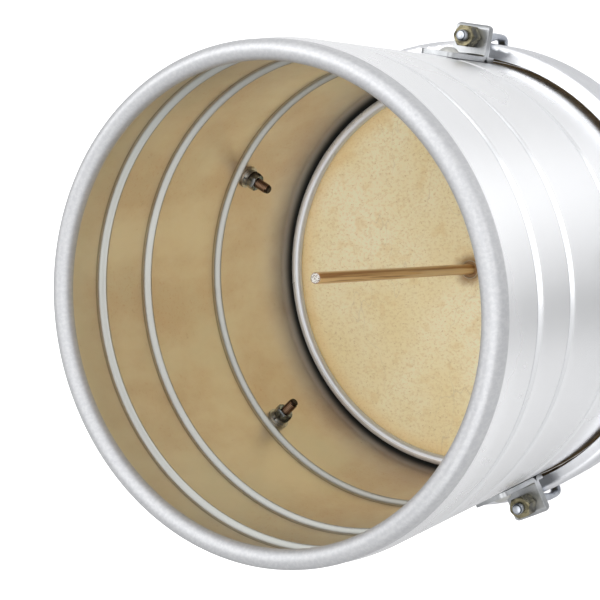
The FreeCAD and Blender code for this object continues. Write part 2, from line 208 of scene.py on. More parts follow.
def add_floor():
    """A white floor with the drum's shadow. Reflections see it with soft darker bands,
    as round a studio table with grey cards beside it."""
    bpy.ops.mesh.primitive_plane_add(size=FLOOR_SIZE, location=(0, 0, 0))
    floor = bpy.context.object
    floor.name = "studio_floor"
    material, tree, shader = new_material("pale_floor", Base_Color=(0.9, 0.9, 0.9, 1),
                                          Roughness=0.9)
    rays = add_node(tree, "ShaderNodeLightPath").outputs
    glow = add_node(tree, "ShaderNodeEmission", {"Color": (1, 1, 1, 1), "Strength": FLOOR_GLOW})
    bright = add_node(tree, "ShaderNodeAddShader", {0: shader.outputs[0], 1: glow.outputs[0]})
    banded = add_node(tree, "ShaderNodeBsdfDiffuse", {"Color": floor_bands(tree)})
    mirrored = add_node(tree, "ShaderNodeMixShader",
                        {0: rays["Is Glossy Ray"], 1: shader.outputs[0], 2: banded.outputs[0]})
    choice = add_node(tree, "ShaderNodeMixShader",
                      {0: rays["Is Camera Ray"], 1: mirrored.outputs[0], 2: bright.outputs[0]})
    tree.links.new(choice.outputs[0], tree.nodes["Material Output"].inputs["Surface"])
    floor.data.materials.append(material)
    return floor


def add_lamp(name, place, aim, size, power):
    bpy.ops.object.light_add(type="AREA", location=place)
    lamp = bpy.context.object
    lamp.name = name
    lamp.rotation_euler = (Vector(aim) - Vector(place)).to_track_quat("-Z", "Y").to_euler()
    lamp.data.size = size
    lamp.data.energy = power
    return lamp


def light_room():
    world = bpy.data.worlds.new("pale_room")
    bpy.context.scene.world = world
    world.use_nodes = True
    tree = world.node_tree
    room = tree.nodes["Background"]
    room.inputs["Color"].default_value = (1, 1, 1, 1)
    seen = add_node(tree, "ShaderNodeLightPath").outputs["Is Camera Ray"]
    level = calculate(tree, "MULTIPLY_ADD", seen, 1 - ROOM_LEVEL, ROOM_LEVEL)
    tree.links.new(level, room.inputs["Strength"])


add_floor()
light_room()
for lamp in LAMPS:
    add_lamp(*lamp)
print("lamps in the studio:", len(LAMPS))

# %% [markdown]
# Round parts are turned on a lathe, and here they are too: the outline is drawn as one
# chain of extruded points, and the spin operator carries it round the drum's axis. Arcs
# in the outline come from a formula, so they are as smooth as the spin.

# %% Lathe helpers
def polar(centre, radius, degrees):
    angle = math.radians(degrees)
    return (centre[0] + radius * math.cos(angle), centre[1] + radius * math.sin(angle))


def arc(centre, radius, start, end, steps):
    return [polar(centre, radius, start + (end - start) * i / steps) for i in range(steps + 1)]


def start_point(name):
    """A new mesh of one selected point at the origin, left in edit mode."""
    bpy.ops.object.select_all(action="DESELECT")
    bpy.ops.mesh.primitive_plane_add(size=MM, location=(0, 0, 0))
    piece = bpy.context.object
    piece.name = name
    piece.data.name = name
    bpy.ops.object.mode_set(mode="EDIT")
    bpy.ops.mesh.select_all(action="SELECT")
    bpy.ops.mesh.merge(type="CENTER")
    return piece


def lathe(name, outline, steps, centre=(0.0, 0.0), smooth_angle=35.0):
    """Turns an outline of (radius, height) points in mm round an upright axis."""
    piece = start_point(name)
    axis = Vector((centre[0], centre[1], 0)) * MM
    here = Vector((0, 0, 0))
    for step, (radius, height) in enumerate(outline):
        there = axis + Vector((radius, 0, height)) * MM
        if step == 0:
            bpy.ops.transform.translate(value=there)
        else:
            bpy.ops.mesh.extrude_region_move(TRANSFORM_OT_translate={"value": there - here})
        here = there
    bpy.ops.mesh.select_all(action="SELECT")
    bpy.ops.mesh.spin(steps=steps, angle=math.tau, center=axis, axis=(0, 0, 1))
    bpy.ops.mesh.select_all(action="SELECT")
    bpy.ops.mesh.remove_doubles(threshold=0.005 * MM)
    bpy.ops.mesh.normals_make_consistent(inside=False)
    bpy.ops.object.mode_set(mode="OBJECT")
    bpy.ops.object.shade_smooth_by_angle(angle=math.radians(smooth_angle))
    print(name, "turned with", len(piece.data.polygons), "faces")
    return piece


def dress(piece, material, body=None, replaced=()):
    piece.data.materials.clear()
    piece.data.materials.append(material)
    if body:
        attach(piece, body)
    if replaced:
        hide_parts(*replaced)
    return piece


# %% [markdown]
# The shell is one spun sheet. Its mouth is rolled into a bead, three grooves are pressed
# into its wall, and at the head it turns in to a rounded bearing edge with a curled lip.
# Its outline could be traced point by point, but runs from formulas stay smooth and can
# be changed by one size. The grooves turn in softly and end in one sharp shoulder.

# %% Shell shape
SHELL_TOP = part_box("shell")[1].z / MM
SHELL_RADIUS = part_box("shell")[1].y / MM
WALL = 1.2
BEAD_RADIUS = 4.05
BEAD_CENTRE = (SHELL_RADIUS - 5.58, SHELL_TOP - BEAD_RADIUS)
SHOULDER_START = SHELL_TOP - 19.0
GROOVE_HEIGHTS = (SHELL_TOP - 32.2, SHELL_TOP - 64.1, 75.6)
GROOVE_DEPTH = 2.5
GROOVE_RISE = 2.2
GROOVE_CREST = 1.4
GROOVE_FALL = 5.8
# How much lower the grooves stand on the inner face, less than the sheet's own thickness
INNER_DROP = 0.45
EDGE_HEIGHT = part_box("shell")[0].z / MM
EDGE_SHOULDER = 7.15
LIP_RADIUS = 2.6
LIP_CENTRE = (SHELL_RADIUS - EDGE_SHOULDER - 1.4, EDGE_HEIGHT + LIP_RADIUS)
TURN_STEPS = 256


def shoulder(radius, end, steps=10):
    """The soft curve from the straight wall up to the side of the mouth bead."""
    points = []
    for i in range(steps + 1):
        t = i / steps
        ease = t * t * (3 - 2 * t)
        height = SHOULDER_START + (end[1] - SHOULDER_START) * t
        points.append((radius + (end[0] - radius) * ease, height))
    return points


def groove(radius, middle):
    """One groove from its mouth side down: it turns in softly, ends in a steep step and
    then fades back to the wall."""
    points = []
    for i in range(13):
        t = i / 12
        turn = t ** 2.2
        depth = GROOVE_DEPTH * turn * turn * (3 - 2 * turn)
        points.append((radius - depth, middle + GROOVE_RISE - (GROOVE_RISE + GROOVE_CREST) * t))
    for i in range(1, 13):
        t = i / 12
        depth = GROOVE_DEPTH * (1 + math.cos(t * math.pi)) / 2
        points.append((radius - depth, middle - GROOVE_CREST - (GROOVE_FALL - GROOVE_CREST) * t))
    return points


def wall(radius, drop):
    points = []
    for middle in GROOVE_HEIGHTS:
        points += groove(radius, middle - drop)
    return points


def shell_outline():
    curl = BEAD_RADIUS - WALL
    lip_curl = LIP_RADIUS - WALL
    edge_centre = (SHELL_RADIUS - EDGE_SHOULDER, EDGE_HEIGHT + EDGE_SHOULDER)
    inside = SHELL_RADIUS - WALL
    outline = list(reversed(wall(SHELL_RADIUS, 0)))
    outline += shoulder(SHELL_RADIUS, polar(BEAD_CENTRE, BEAD_RADIUS, 0))[:-1]
    outline += arc(BEAD_CENTRE, BEAD_RADIUS, 0, 290, 40)
    outline += arc(BEAD_CENTRE, curl, 290, 0, 24)
    outline += list(reversed(shoulder(inside, polar(BEAD_CENTRE, curl, 0))))[1:]
    outline += wall(inside, INNER_DROP)
    outline += arc(edge_centre, EDGE_SHOULDER - WALL, 0, -90, 10)
    outline += arc(LIP_CENTRE, lip_curl, -90, -330, 14)
    outline += arc(LIP_CENTRE, LIP_RADIUS, -330, -90, 20)
    outline += arc(edge_centre, EDGE_SHOULDER, -90, 0, 12)
    return outline + outline[:1]


def mark_inside(piece):
    """Stores 1 where a point's face looks at the drum's axis, for the finish to read."""
    values = [float(v.normal.xy.dot(v.co.xy) < 0) for v in piece.data.vertices]
    piece.data.attributes.new("inside", "FLOAT", "POINT").data.foreach_set("value", values)


shell = lathe("drum_shell", shell_outline(), TURN_STEPS)
mark_inside(shell)

# %% [markdown]
# Outside, the aluminium is clean and silvery, with fine rings from the spinning tool. Inside, it
# is tinted tan with olive and brown patches. Painted shade greys it towards the mouth, draws thin
# dark lines where the grooves turn in and blackens the wall by the bearing edge. The ridge flanks
# are painted a darker grey that dims the highlight they reflect. Outside, painted shade darkens
# each groove's crease and valley. One material holds both, because the sheet is one piece, and it
# picks the side from the attribute stored above. The marks lie at heights, so they are drawn from
# Object coordinates.

# %% Shell finish
# Heights and distances from the axis, in metres, where one tone fades into the next
BEAD_START = (0.1862, 0.1872)
LIP_EDGE = (0.0978, 0.0972)
LIP_TOP = (0.015, 0.014)
MOUTH_SHADE_HEIGHTS = (0.150, 0.186)
CORNER_SHADE_HEIGHTS = (0.0142, 0.0098)
DULL_WALL = (0.034, 0.016)


def near_heights(tree, height, middles, reach):
    """1 at each of the heights, given in mm, fading to 0 at the reach from it."""
    total = 0.0
    for middle in middles:
        away = calculate(tree, "ABSOLUTE", calculate(tree, "SUBTRACT", height, middle * MM))
        total = calculate(tree, "MAXIMUM", total, smooth_step(tree, away, reach * MM, 0.0))
    return total


def aluminium():
    """Silver outside and tan inside, with painted shade and a painted dimming of the ridge
    highlights.
    """
    material, tree, shader = new_material("spun_aluminium", Specular_IOR_Level=0.25)
    place, height, radius = object_place(tree)
    inside = add_node(tree, "ShaderNodeAttribute", attribute_name="inside").outputs["Fac"]
    bead = smooth_step(tree, height, *BEAD_START)
    lip = smooth_step(tree, radius, *LIP_EDGE)
    lip = calculate(tree, "MULTIPLY", lip, smooth_step(tree, height, *LIP_TOP))
    rings = noise(tree, stretched(tree, place, (5, 5, 2600)), 1.0, 2.0)
    haze = noise(tree, place, 13.0, 4.0, 0.55)
    patches = noise(tree, stretched(tree, place, (1, 1, 0.6)), 22.0, 5.0, 0.6)
    scuffs = noise(tree, stretched(tree, place, (1, 1, 0.5)), 700.0, 5.0, 0.65)
    marks = noise(tree, place, 170.0, 5.0, 0.7)

    metal = mix_colours(tree, haze, (0.86, 0.87, 0.89), (0.91, 0.915, 0.92))
    warm = mix_colours(tree, smooth_step(tree, patches, 0.34, 0.66),
                       (0.69, 0.57, 0.455), (0.80, 0.735, 0.63))
    olive = smooth_step(tree, haze, 0.44, 0.66)
    warm = mix_colours(tree, calculate(tree, "MULTIPLY", olive, 0.55), warm, (0.72, 0.70, 0.60))
    spots = smooth_step(tree, marks, 0.66, 0.74)
    warm = mix_colours(tree, calculate(tree, "MULTIPLY", spots, 0.35), warm, (0.42, 0.30, 0.20))
    pits = smooth_step(tree, noise(tree, place, 640.0, 3.0, 0.7), 0.55, 0.68)
    pits = calculate(tree, "MULTIPLY", pits, smooth_step(tree, patches, 0.58, 0.38))
    warm = mix_colours(tree, calculate(tree, "MULTIPLY", pits, 0.4), warm, (0.60, 0.40, 0.26))
    # Painted shade: the inside turns darker and greyer towards the mouth
    mouth_shade = smooth_step(tree, height, *MOUTH_SHADE_HEIGHTS)
    warm = mix_colours(tree, calculate(tree, "MULTIPLY", mouth_shade, 0.45), warm,
                       (0.56, 0.56, 0.50))
    # Painted highlight tone: the ridge flanks are painted darker grey, and made rougher below, to
    # dim the highlight they reflect
    flanks = near_heights(tree, height, [h - 1.1 for h in GROOVE_HEIGHTS], 2.7)
    flanks = calculate(tree, "MULTIPLY", flanks, 1.3, clamp=True)
    warm = mix_colours(tree, calculate(tree, "MULTIPLY", flanks, 0.9), warm, (0.36, 0.375, 0.365))
    # Painted shade: thin dark lines where each groove and the bead's shoulder turn in
    turns = [h + 1.6 for h in GROOVE_HEIGHTS] + [SHOULDER_START + 7.0]
    line = calculate(tree, "MULTIPLY", near_heights(tree, height, turns, 0.8), 0.6)
    warm = mix_colours(tree, line, warm, (0.17, 0.12, 0.06))
    # Painted shade in the sharp crease of each groove outside
    outer_crease_shade = near_heights(tree, height, [h + GROOVE_RISE - 0.9 for h in GROOVE_HEIGHTS], 0.45)
    metal = mix_colours(tree, calculate(tree, "MULTIPLY", outer_crease_shade, 0.7), metal,
                        (0.30, 0.31, 0.34))
    # Painted shade: a soft darker band over each groove's valley outside
    valley_shade = near_heights(tree, height, [h - GROOVE_CREST for h in GROOVE_HEIGHTS], 4.6)
    metal = mix_colours(tree, calculate(tree, "MULTIPLY", valley_shade, 0.6), metal,
                        (0.66, 0.68, 0.72))
    patched = mix_colours(tree, inside, metal, warm)
    scuffed = mix_colours(tree, smooth_step(tree, scuffs, 0.58, 0.40),
                          (0.44, 0.445, 0.46), (0.485, 0.49, 0.50))
    dents = smooth_step(tree, marks, 0.63, 0.72)
    scuffed = mix_colours(tree, calculate(tree, "MULTIPLY", dents, 0.4), scuffed,
                          (0.33, 0.34, 0.37))
    surface = mix_colours(tree, bead, patched, scuffed)
    silver = mix_colours(tree, lip, surface, (0.66, 0.69, 0.74))
    # Painted shade: the inner wall by the bearing edge is painted near-black, and made less
    # metallic below, for the dark pocket it reflects
    corner_shade = smooth_step(tree, height, *CORNER_SHADE_HEIGHTS)
    dark = calculate(tree, "MULTIPLY", inside, corner_shade)
    dark = calculate(tree, "MULTIPLY", dark, calculate(tree, "SUBTRACT", 1.0, lip))
    tree.links.new(mix_colours(tree, dark, silver, (0.002, 0.003, 0.002)),
                   shader.inputs["Base Color"])

    shine = calculate(tree, "MULTIPLY_ADD", lip, -0.45, 1.0)
    shine = calculate(tree, "SUBTRACT", shine, calculate(tree, "MULTIPLY", bead, 0.35))
    bare = calculate(tree, "SUBTRACT", 1.0, dark)
    tree.links.new(calculate(tree, "MULTIPLY", shine, bare), shader.inputs["Metallic"])
    rough = calculate(tree, "MULTIPLY_ADD", haze, 0.10, 0.22)
    rough = calculate(tree, "ADD", rough, calculate(tree, "MULTIPLY", bead, 0.16))
    rough = calculate(tree, "ADD", rough, calculate(tree, "MULTIPLY", inside, 0.10))
    rough_flanks = calculate(tree, "MULTIPLY", inside, flanks)
    rough = calculate(tree, "MULTIPLY_ADD", rough_flanks, 0.12, rough)
    dull = calculate(tree, "MULTIPLY", inside, smooth_step(tree, height, *DULL_WALL))
    dull = calculate(tree, "MULTIPLY", dull, calculate(tree, "SUBTRACT", 1.0, lip))
    rough = calculate(tree, "MULTIPLY_ADD", dull, 0.35, rough)
    tree.links.new(rough, shader.inputs["Roughness"])
    fine = bump(tree, rings, 0.00002, 0.45)
    worn = calculate(tree, "MULTIPLY", scuffs, bead)
    tree.links.new(bump(tree, worn, 0.00002, 0.15, fine), shader.inputs["Normal"])
    return material


dress(shell, aluminium(), "drum", ("shell",))

# %% [markdown]
# The head is one goat skin. It lies over the bearing edge, runs down past it and is drawn
# outwards at its middle, where the stick is tied in. Cloth would sag here, and a stretched
# skin doesn't, so it is turned as a thin closed shell and its funnel is slid sideways.
# It is one piece from the bearing edge to the funnel round the stick.

# %% Skin shape
NECK_X = 3.1
NECK_Y = 1.6
SKIN_THICKNESS = 0.6
SKIN_TOP = EDGE_HEIGHT - 0.05
SKIN_EDGE = LIP_CENTRE[0] - LIP_RADIUS
SKIN_MIDDLE = SKIN_TOP - 2.2
STICK_RADIUS = 2.55
SKIN_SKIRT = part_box("head_skin")[1].z / MM


def skin_height(radius):
    """The skin's upper face: a shallow cone with a small funnel round the stick."""
    slope = SKIN_MIDDLE + (SKIN_TOP - SKIN_MIDDLE) * min(radius / SKIN_EDGE, 1.0)
    return slope - 1.15 * math.exp(-((radius - STICK_RADIUS) / 3.4))


def skin_outline():
    edge_centre = (SHELL_RADIUS - EDGE_SHOULDER, EDGE_HEIGHT + EDGE_SHOULDER)
    radii = [STICK_RADIUS + 0.05 + 0.35 * i * (1 + 0.22 * i) for i in range(34)]
    radii = [r for r in radii if r < SKIN_EDGE] + [SKIN_EDGE]
    upper = [(r, skin_height(r)) for r in radii]
    outer = EDGE_SHOULDER + 0.05 + SKIN_THICKNESS
    outline = upper + arc(edge_centre, EDGE_SHOULDER + 0.05, -90, 0, 12)
    outline += [(edge_centre[0] + EDGE_SHOULDER + 0.05, SKIN_SKIRT),
                (edge_centre[0] + outer, SKIN_SKIRT)]
    outline += arc(edge_centre, outer, 0, -90, 12)
    outline += [(r, z - SKIN_THICKNESS) for r, z in reversed(upper)]
    return outline + outline[:1]


def centre_funnel(piece):
    """Slides the skin's middle sideways onto the neck, fading out towards the edge."""
    for vertex in piece.data.vertices:
        radius = math.hypot(vertex.co.x, vertex.co.y) / MM
        share = max(0.0, 1 - radius / 60.0) ** 2 if radius > STICK_RADIUS else 1.0
        vertex.co.x += NECK_X * MM * share
        vertex.co.y += NECK_Y * MM * share


skin = lathe("drum_skin", skin_outline(), 192)
centre_funnel(skin)

# %% [markdown]
# Scraped goat skin is pale and cloudy, with pores in loose rows, faint veins and an amber edge
# where it was wetted and folded. It is dark brown round the stick. Each of these is one layer of
# noise over the base colour, from the widest to the finest. Past the bearing edge the skin is
# painted dark, as shade in the gap under the hoop, and a faint glow in its own colour is painted
# light.

# %% Skin finish
# A faint glow in the skin's own colour, painted light standing in for light through the skin
SKIN_GLOW = 0.09
# Distances from the axis or from the stick, in metres, where the tones fade
AMBER_EDGE = (0.083, 0.0925)
DARK_ROUND_STICK = (0.0105, 0.0032)
# Past the bearing edge the skin is painted dark, as shade in the gap under the hoop
SKIN_LAP_SHADE = (0.0975, 0.0995)


def goat_skin():
    material, tree, shader = new_material("goat_skin", Roughness=0.55, Specular_IOR_Level=0.3,
                                          Subsurface_Weight=0.10)
    shader.inputs["Subsurface Radius"].default_value = (0.003, 0.002, 0.001)
    place, _, radius = object_place(tree)
    clouds = noise(tree, place, 17.0, 5.0, 0.6)
    mottle = noise(tree, stretched(tree, place, (1, 1.25, 1)), 95.0, 5.0, 0.62)
    grain = noise(tree, stretched(tree, place, (1, 1.25, 1)), 620.0, 3.0, 0.7)
    pores = add_node(tree, "ShaderNodeTexVoronoi",
                     {"Vector": stretched(tree, place, (1, 1.2, 1)), "Scale": 700.0})
    rows = add_node(tree, "ShaderNodeTexWave", {"Vector": place, "Scale": 60.0, "Distortion": 9.0,
                                                "Detail": 2.0, "Detail Scale": 1.5},
                    bands_direction="Y").outputs["Fac"]
    vein = noise(tree, stretched(tree, place, (1, 0.35, 1)), 34.0, 3.0, 0.5)
    offset = add_node(tree, "ShaderNodeVectorMath",
                      {0: place, 1: (NECK_X * MM, NECK_Y * MM, 0)}, operation="SUBTRACT")
    flat = stretched(tree, offset.outputs[0], (1, 1, 0))
    distance = add_node(tree, "ShaderNodeVectorMath", {0: flat}, operation="LENGTH").outputs[1]
    wobble = calculate(tree, "MULTIPLY_ADD", noise(tree, place, 120.0, 3.0), 0.006, -0.003)
    near = calculate(tree, "ADD", distance, wobble)

    tone = mix_colours(tree, smooth_step(tree, clouds, 0.32, 0.68),
                       (0.90, 0.785, 0.485), (0.96, 0.90, 0.66))
    spotted = smooth_step(tree, mottle, 0.53, 0.68)
    tone = mix_colours(tree, calculate(tree, "MULTIPLY", spotted, 0.45), tone, (0.80, 0.62, 0.32))
    fine = calculate(tree, "MULTIPLY", smooth_step(tree, grain, 0.46, 0.66), 0.40)
    tone = mix_colours(tree, fine, tone, (0.70, 0.54, 0.27))
    speckle = smooth_step(tree, pores.outputs["Distance"], 0.32, 0.16)
    speckle = calculate(tree, "MULTIPLY", speckle, smooth_step(tree, grain, 0.42, 0.60))
    rowed = calculate(tree, "MULTIPLY_ADD", rows, 0.35, 0.2)
    speckle = calculate(tree, "MULTIPLY", speckle, rowed)
    tone = mix_colours(tree, speckle, tone, (0.58, 0.42, 0.20))
    line = calculate(tree, "ABSOLUTE", calculate(tree, "SUBTRACT", vein, 0.5))
    line = calculate(tree, "MULTIPLY", smooth_step(tree, line, 0.0035, 0.0), 0.30)
    tone = mix_colours(tree, line, tone, (0.60, 0.52, 0.36))
    edge = smooth_step(tree, radius, *AMBER_EDGE)
    tone = mix_colours(tree, calculate(tree, "MULTIPLY", edge, 0.5), tone, (0.86, 0.60, 0.27))
    dark_round_stick = smooth_step(tree, near, *DARK_ROUND_STICK)
    tone = mix_colours(tree, calculate(tree, "MULTIPLY", dark_round_stick, 0.85), tone,
                       (0.26, 0.115, 0.035))
    # Painted shade: the skin past the bearing edge, in the gap under the hoop
    lap = smooth_step(tree, radius, *SKIN_LAP_SHADE)
    tone = mix_colours(tree, lap, tone, (0.17, 0.115, 0.055))
    tree.links.new(tone, shader.inputs["Base Color"])
    # A faint glow in the skin's own colour is painted light
    tree.links.new(tone, shader.inputs["Emission Color"])
    shader.inputs["Emission Strength"].default_value = SKIN_GLOW
    relief = bump(tree, grain, 0.00007, 0.6)
    tree.links.new(bump(tree, pores.outputs["Distance"], 0.00005, 0.5, relief),
                   shader.inputs["Normal"])
    return material


skin_finish = goat_skin()
dress(skin, skin_finish)
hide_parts("head_skin")
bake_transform(skin)

# %% [markdown]
# Outside the head, the skin's middle is gathered round the stick's foot like the neck of
# a small bag. The photograph doesn't show it, so it follows how such drums are tied. It is
# turned on the lathe first, and two waves round its axis then press the folds into it.

# %% Gathered neck
NECK_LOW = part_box("skin_neck")[0].z / MM
# Wider than the stick, so that the stick can lean inside it
NECK_BORE = 3.0
FOLDS = 11


def gathered_neck():
    """The hood under the skin, drawn in where the thread goes round, with soft folds."""
    top = SKIN_MIDDLE - 0.75
    outline = [(0, NECK_LOW + 0.02), (2.6, NECK_LOW + 0.02)]
    outline += arc((2.9, NECK_LOW + 0.75), 0.72, -90, 0, 6)
    outline += [(3.72, NECK_LOW + 1.2), (3.95, NECK_LOW + 1.9), (4.2, NECK_LOW + 2.4),
                (4.9, top - 0.35), (6.6, top), (NECK_BORE, top),
                (NECK_BORE, NECK_LOW + 0.75), (0, NECK_LOW + 0.75)]
    neck = lathe("gathered_neck", outline, 132, (NECK_X, NECK_Y), 60.0)
    for vertex in neck.data.vertices:
        x, y = vertex.co.x - NECK_X * MM, vertex.co.y - NECK_Y * MM
        radius = math.hypot(x, y)
        if radius > (NECK_BORE + 0.05) * MM:
            angle = math.atan2(y, x)
            depth = 0.16 * (math.cos(FOLDS * angle) + 0.5 * math.cos((FOLDS + 6) * angle))
            vertex.co.x += x / radius * (depth - 0.2) * MM
            vertex.co.y += y / radius * (depth - 0.2) * MM
    return neck


dress(gathered_neck(), skin_finish, "neck", ("skin_neck",))

# %% [markdown]
# Waxed thread is wound round the waist of the neck and holds the skin on the stick. Its
# turns lie side by side, so it is one helix, and a curve with a round bevel is the plainest
# way to give a line its thickness. The curve is then made a mesh.

# %% Wound thread
THREAD_RADIUS = 0.34
THREAD_TURNS = 5
STEPS_PER_TURN = 40


def tube(name, points, radius, sides):
    """A round tube along points in metres, turned from a curve into a mesh."""
    bpy.ops.object.select_all(action="DESELECT")
    curve = bpy.data.curves.new(name, "CURVE")
    curve.dimensions = "3D"
    curve.bevel_depth = radius * MM
    curve.bevel_resolution = sides // 4 - 1
    curve.use_fill_caps = True
    spline = curve.splines.new("POLY")
    spline.points.add(len(points) - 1)
    for i, point in enumerate(points):
        spline.points[i].co = (*point, 1.0)
    piece = bpy.data.objects.new(name, curve)
    bpy.context.collection.objects.link(piece)
    bpy.context.view_layer.objects.active = piece
    piece.select_set(True)
    bpy.ops.object.convert(target="MESH")
    piece = bpy.context.object
    bpy.ops.object.shade_smooth()
    return piece


def wound_thread():
    """Turns of waxed thread up the waist of the neck, each beside the last."""
    points = []
    rise = 2.12 * THREAD_RADIUS
    low = NECK_LOW + 0.55
    for i in range(THREAD_TURNS * STEPS_PER_TURN + 1):
        angle = math.tau * i / STEPS_PER_TURN
        height = low + rise * i / STEPS_PER_TURN
        radius = 4.12 + 0.30 * (height - low) / (THREAD_TURNS * rise)
        points.append(Vector((NECK_X + radius * math.cos(angle),
                              NECK_Y + radius * math.sin(angle), height)) * MM)
    return tube("wound_thread", points, THREAD_RADIUS, 12)


def thread_finish():
    material, tree, shader = new_material("waxed_thread", Roughness=0.6)
    place = add_node(tree, "ShaderNodeTexCoord").outputs["Object"]
    lay = add_node(tree, "ShaderNodeTexWave", {"Vector": place, "Scale": 900.0,
                                               "Distortion": 2.0}).outputs["Fac"]
    fuzz = noise(tree, place, 1500.0, 3.0)
    tone = mix_colours(tree, lay, (0.36, 0.27, 0.16), (0.62, 0.52, 0.36))
    tree.links.new(mix_colours(tree, calculate(tree, "MULTIPLY", fuzz, 0.4), tone,
                               (0.72, 0.64, 0.48)), shader.inputs["Base Color"])
    tree.links.new(bump(tree, lay, 0.0001, 0.8), shader.inputs["Normal"])
    return material


dress(wound_thread(), thread_finish(), "neck", ("stick_binding",))

# %% [markdown]
# At the rim, the wet skin was lapped round a hoop and dried on it, and only its edge shows in
# the gap under the tension hoop, painted dark as the shade there. The section is turned, and slow
# waves round the hoop pucker it a few hundredths of a millimetre at a time, as dried skin is.

# %% Flesh hoop
HOOP_LOW, HOOP_HIGH = (corner.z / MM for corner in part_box("flesh_hoop"))
HOOP_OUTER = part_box("flesh_hoop")[1].y / MM
HOOP_INNER = HOOP_OUTER - 5.0
HOOP_CORNER = 1.6


def lapped_hoop():
    """The hoop under the skin that is lapped round it, slightly puckered."""
    c = HOOP_CORNER
    outline = arc((HOOP_INNER + c, HOOP_LOW + c), c, 180, 270, 6)
    outline += arc((HOOP_OUTER - c, HOOP_LOW + c), c, -90, 0, 6)
    outline += arc((HOOP_OUTER - c, HOOP_HIGH - c), c, 0, 90, 6)
    outline += arc((HOOP_INNER + c, HOOP_HIGH - c), c, 90, 180, 6)
    hoop = lathe("lapped_flesh_hoop", outline + outline[:1], 360, smooth_angle=60.0)
    for vertex in hoop.data.vertices:
        angle = math.atan2(vertex.co.y, vertex.co.x)
        radius = math.hypot(vertex.co.x, vertex.co.y)
        pucker = (math.sin(73 * angle) + math.sin(41 * angle + 900 * vertex.co.z)) * 0.07
        vertex.co.x -= vertex.co.x / radius * (0.14 + pucker) * MM
        vertex.co.y -= vertex.co.y / radius * (0.14 + pucker) * MM
    return hoop


def shaded_lap_finish():
    """The lapped edge of the skin, painted dark as shade in the gap under the tension hoop."""
    material, tree, shader = new_material("shaded_skin_lap", Roughness=0.7)
    place = add_node(tree, "ShaderNodeTexCoord").outputs["Object"]
    clouds = noise(tree, place, 60.0, 5.0, 0.65)
    tree.links.new(mix_colours(tree, smooth_step(tree, clouds, 0.35, 0.65),
                               (0.10, 0.065, 0.03), (0.27, 0.18, 0.09)),
                   shader.inputs["Base Color"])
    tree.links.new(bump(tree, noise(tree, place, 500.0, 4.0), 0.0002, 0.6),
                   shader.inputs["Normal"])
    return material


dress(lapped_hoop(), shaded_lap_finish(), "tension_ring", ("flesh_hoop",))

# %% [markdown]
# The stick is a length of split bamboo, which is never quite round. It is turned plain and
# then given slight dents. It leans as the photograph shows, so each point's upright place
# is stored first: the fibres have to follow the stick, not the drum.

# %% Stick shape
STICK_LENGTH = 144.0
STICK_FOOT = NECK_LOW + 1.0
STICK_LEAN = Vector((math.tan(math.radians(-1.13)), math.tan(math.radians(2.58)), 1))


def stick_outline():
    points = [(0.0, 0.0), (STICK_RADIUS - 0.3, 0.0)]
    points += [(STICK_RADIUS, 0.3 + (STICK_LENGTH - 0.6) * i / 72) for i in range(73)]
    points += [(STICK_RADIUS - 0.3, STICK_LENGTH), (0.0, STICK_LENGTH)]
    return points


def shape_stick(piece):
    """Splits the round into slight facets, keeps each point's upright place for the
    fibres, then leans the stick on its foot."""
    for vertex in piece.data.vertices:
        angle = math.atan2(vertex.co.y, vertex.co.x)
        height = vertex.co.z / MM
        dent = 0.05 * math.cos(5 * angle + height / 30) + 0.04 * math.cos(3 * angle - height / 19)
        share = 1 - (0.09 + dent) / STICK_RADIUS
        vertex.co.x *= share
        vertex.co.y *= share
    places = [value for v in piece.data.vertices for value in v.co]
    along = piece.data.attributes.new("along", "FLOAT_VECTOR", "POINT")
    along.data.foreach_set("vector", places)
    turn = Vector((0, 0, 1)).rotation_difference(STICK_LEAN).to_matrix().to_4x4()
    foot = Matrix.Translation(Vector((NECK_X, NECK_Y, STICK_FOOT)) * MM)
    piece.data.transform(foot @ turn)


stick = lathe("rubbing_stick_cane", stick_outline(), 40)
shape_stick(stick)

# %% [markdown]
# Bamboo is bundles of fibre in a paler ground. Noise that is stretched along the stick gives
# both, and at the cut end the same noise, seen end on, gives the small open holes.

